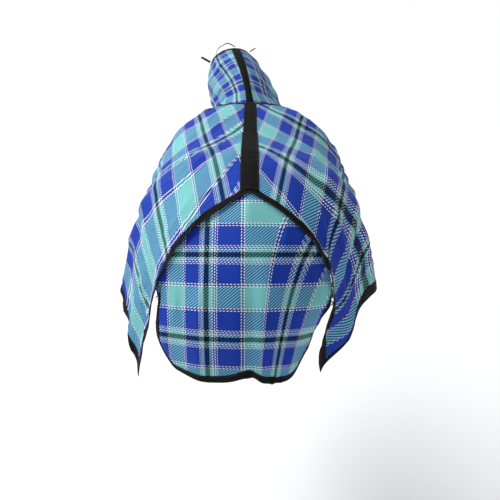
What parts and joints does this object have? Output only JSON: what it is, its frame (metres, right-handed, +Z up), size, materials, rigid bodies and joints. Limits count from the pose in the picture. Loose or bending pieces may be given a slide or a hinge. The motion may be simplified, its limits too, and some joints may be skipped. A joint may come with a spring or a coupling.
{
  "type": "fly sheet",
  "caption": "Plaid mesh fly sheet for a horse with a neck cover, tail flap, wide spine strip, black binding, chest buckles, belly straps and leg straps.",
  "frame": {"origin": "top of the horse's withers on the spine line, on the outer face of the sheet", "axes": "+Y towards the horse's head, +X to the horse's right, +Z up"},
  "size_m": [1.1476, 2.1621, 1.1163],
  "materials": {
    "plaid_mesh": "soft plaid mesh in royal blue, mint, navy and white",
    "neck_mesh": "soft plaid mesh in royal blue, mint, navy and white",
    "binding": "black woven binding tape, satin",
    "strap_webbing": "black webbing, ribbed",
    "spine_webbing": "charcoal wide webbing, soft nap",
    "fleece": "charcoal fleece",
    "hardware": "nickel plated"
  },
  "bodies": {
    "root": {"left_body_panel": "plaid_mesh", "right_body_panel": "plaid_mesh", "left_rump_binding": "binding", "right_rump_binding": "binding", "left_edge_binding": "binding", "right_edge_binding": "binding", "left_neckline_binding": "binding", "right_neckline_binding": "binding", "spine_strip_rear": "spine_webbing", "spine_strip_front": "spine_webbing", "withers_fleece_pad": "fleece", "tail_flap_upper": "plaid_mesh", "chest_upper_strap": "strap_webbing", "chest_upper_buckle": "hardware", "chest_upper_buckle_tab": "strap_webbing", "chest_lower_strap": "strap_webbing", "chest_lower_buckle": "hardware", "chest_lower_buckle_tab": "strap_webbing", "belly_front_left_strap": "strap_webbing", "belly_front_right_strap": "strap_webbing", "belly_front_keeper": "hardware", "belly_front_hook": "hardware", "belly_rear_left_strap": "strap_webbing", "belly_rear_right_strap": "strap_webbing", "belly_rear_keeper": "hardware", "belly_rear_hook": "hardware", "left_leg_ring_tab": "strap_webbing", "right_leg_ring_tab": "strap_webbing"},
    "neck_cover": {"left_neck_panel": "neck_mesh", "right_neck_panel": "neck_mesh", "left_throat_binding": "binding", "right_throat_binding": "binding", "crest_strip": "spine_webbing", "poll_binding": "binding", "throat_strap_1": "strap_webbing", "throat_strap_2": "strap_webbing", "throat_strap_3": "strap_webbing", "left_mask_tab": "strap_webbing", "right_mask_tab": "strap_webbing", "poll_loop_strap": "strap_webbing"},
    "tail_skirt": {"tail_flap_skirt": "plaid_mesh", "tail_flap_binding": "binding"},
    "upper_tongue": {"chest_upper_tongue": "hardware"},
    "lower_tongue": {"chest_lower_tongue": "hardware"},
    "front_slider": {"belly_front_slide": "hardware"},
    "rear_slider": {"belly_rear_slide": "hardware"},
    "left_ring": {"left_leg_ring": "hardware"},
    "left_leg": {"left_leg_strap": "strap_webbing", "left_leg_strap_eye": "hardware"},
    "left_snap": {"left_leg_snap_hook": "hardware"},
    "left_gate": {"left_leg_snap_gate": "hardware"},
    "left_slider": {"left_leg_slide": "hardware"},
    "right_ring": {"right_leg_ring": "hardware"},
    "right_leg": {"right_leg_strap": "strap_webbing", "right_leg_strap_eye": "hardware"},
    "right_snap": {"right_leg_snap_hook": "hardware"},
    "right_gate": {"right_leg_snap_gate": "hardware"},
    "right_slider": {"right_leg_slide": "hardware"}
  },
  "joints": [
    {"name": "neck_raise", "type": "hinge", "parent": "root", "child": "neck_cover", "pos_m": [0, 0.03, -0.012], "axis": [1, 0, 0], "range_deg": [-12, 8]},
    {"name": "tail_flap_lift", "type": "hinge", "parent": "root", "child": "tail_skirt", "pos_m": [0, -1.24428, -0.30674], "axis": [-1, 0, 0], "range_deg": [0, 35]},
    {"name": "chest_upper_tongue_turn", "type": "hinge", "parent": "root", "child": "upper_tongue", "pos_m": [-0.016, 0.5496, -0.5], "axis": [0, 0, 1], "range_deg": [0, 30]},
    {"name": "chest_lower_tongue_turn", "type": "hinge", "parent": "root", "child": "lower_tongue", "pos_m": [-0.016, 0.5496, -0.63], "axis": [0, 0, 1], "range_deg": [0, 30]},
    {"name": "belly_front_slide_travel", "type": "slide", "parent": "root", "child": "front_slider", "axis": [1, 0, 0], "range_m": [-0.06, 0.08]},
    {"name": "belly_rear_slide_travel", "type": "slide", "parent": "root", "child": "rear_slider", "axis": [1, 0, 0], "range_m": [-0.06, 0.08]},
    {"name": "left_ring_swing", "type": "hinge", "parent": "root", "child": "left_ring", "pos_m": [-0.35398, -1.09171, -0.48827], "axis": [0, 1, 0], "range_deg": [-8, 8]},
    {"name": "left_leg_strap_swing", "type": "hinge", "parent": "root", "child": "left_leg", "pos_m": [-0.35398, -1.09171, -0.51027], "axis": [0.4203, -0.9025, -0.0938], "range_deg": [0, 15]},
    {"name": "left_snap_swivel", "type": "hinge", "parent": "left_leg", "child": "left_snap", "pos_m": [-0.35398, -1.09171, -0.51027], "axis": [0.6222, 0, -0.7828], "range_deg": [-15, 15]},
    {"name": "left_gate_press", "type": "hinge", "parent": "left_snap", "child": "left_gate", "pos_m": [-0.3532, -1.09171, -0.52217], "axis": [0, 1, 0], "range_deg": [0, 16], "stiffness_Nm_per_rad": 0.004, "springref_deg": -17.19},
    {"name": "left_leg_slide_travel", "type": "slide", "parent": "left_leg", "child": "left_slider", "axis": [0.6222, 0, -0.7828], "range_m": [-0.014, 0.03]},
    {"name": "right_ring_swing", "type": "hinge", "parent": "root", "child": "right_ring", "pos_m": [0.31589, -1.09171, -0.51], "axis": [0, 1, 0], "range_deg": [-8, 8]},
    {"name": "right_leg_strap_swing", "type": "hinge", "parent": "root", "child": "right_leg", "pos_m": [0.31589, -1.09171, -0.532], "axis": [0.504, 0.8512, 0.1465], "range_deg": [0, 15]},
    {"name": "right_snap_swivel", "type": "hinge", "parent": "right_leg", "child": "right_snap", "pos_m": [0.31589, -1.09171, -0.532], "axis": [-0.6222, 0, -0.7828], "range_deg": [-15, 15]},
    {"name": "right_gate_press", "type": "hinge", "parent": "right_snap", "child": "right_gate", "pos_m": [0.30447, -1.09171, -0.53544], "axis": [0, 1, 0], "range_deg": [0, 16], "stiffness_Nm_per_rad": 0.004, "springref_deg": -17.19},
    {"name": "right_leg_slide_travel", "type": "slide", "parent": "right_leg", "child": "right_slider", "axis": [-0.6222, 0, -0.7828], "range_m": [-0.014, 0.03]}
  ]
}
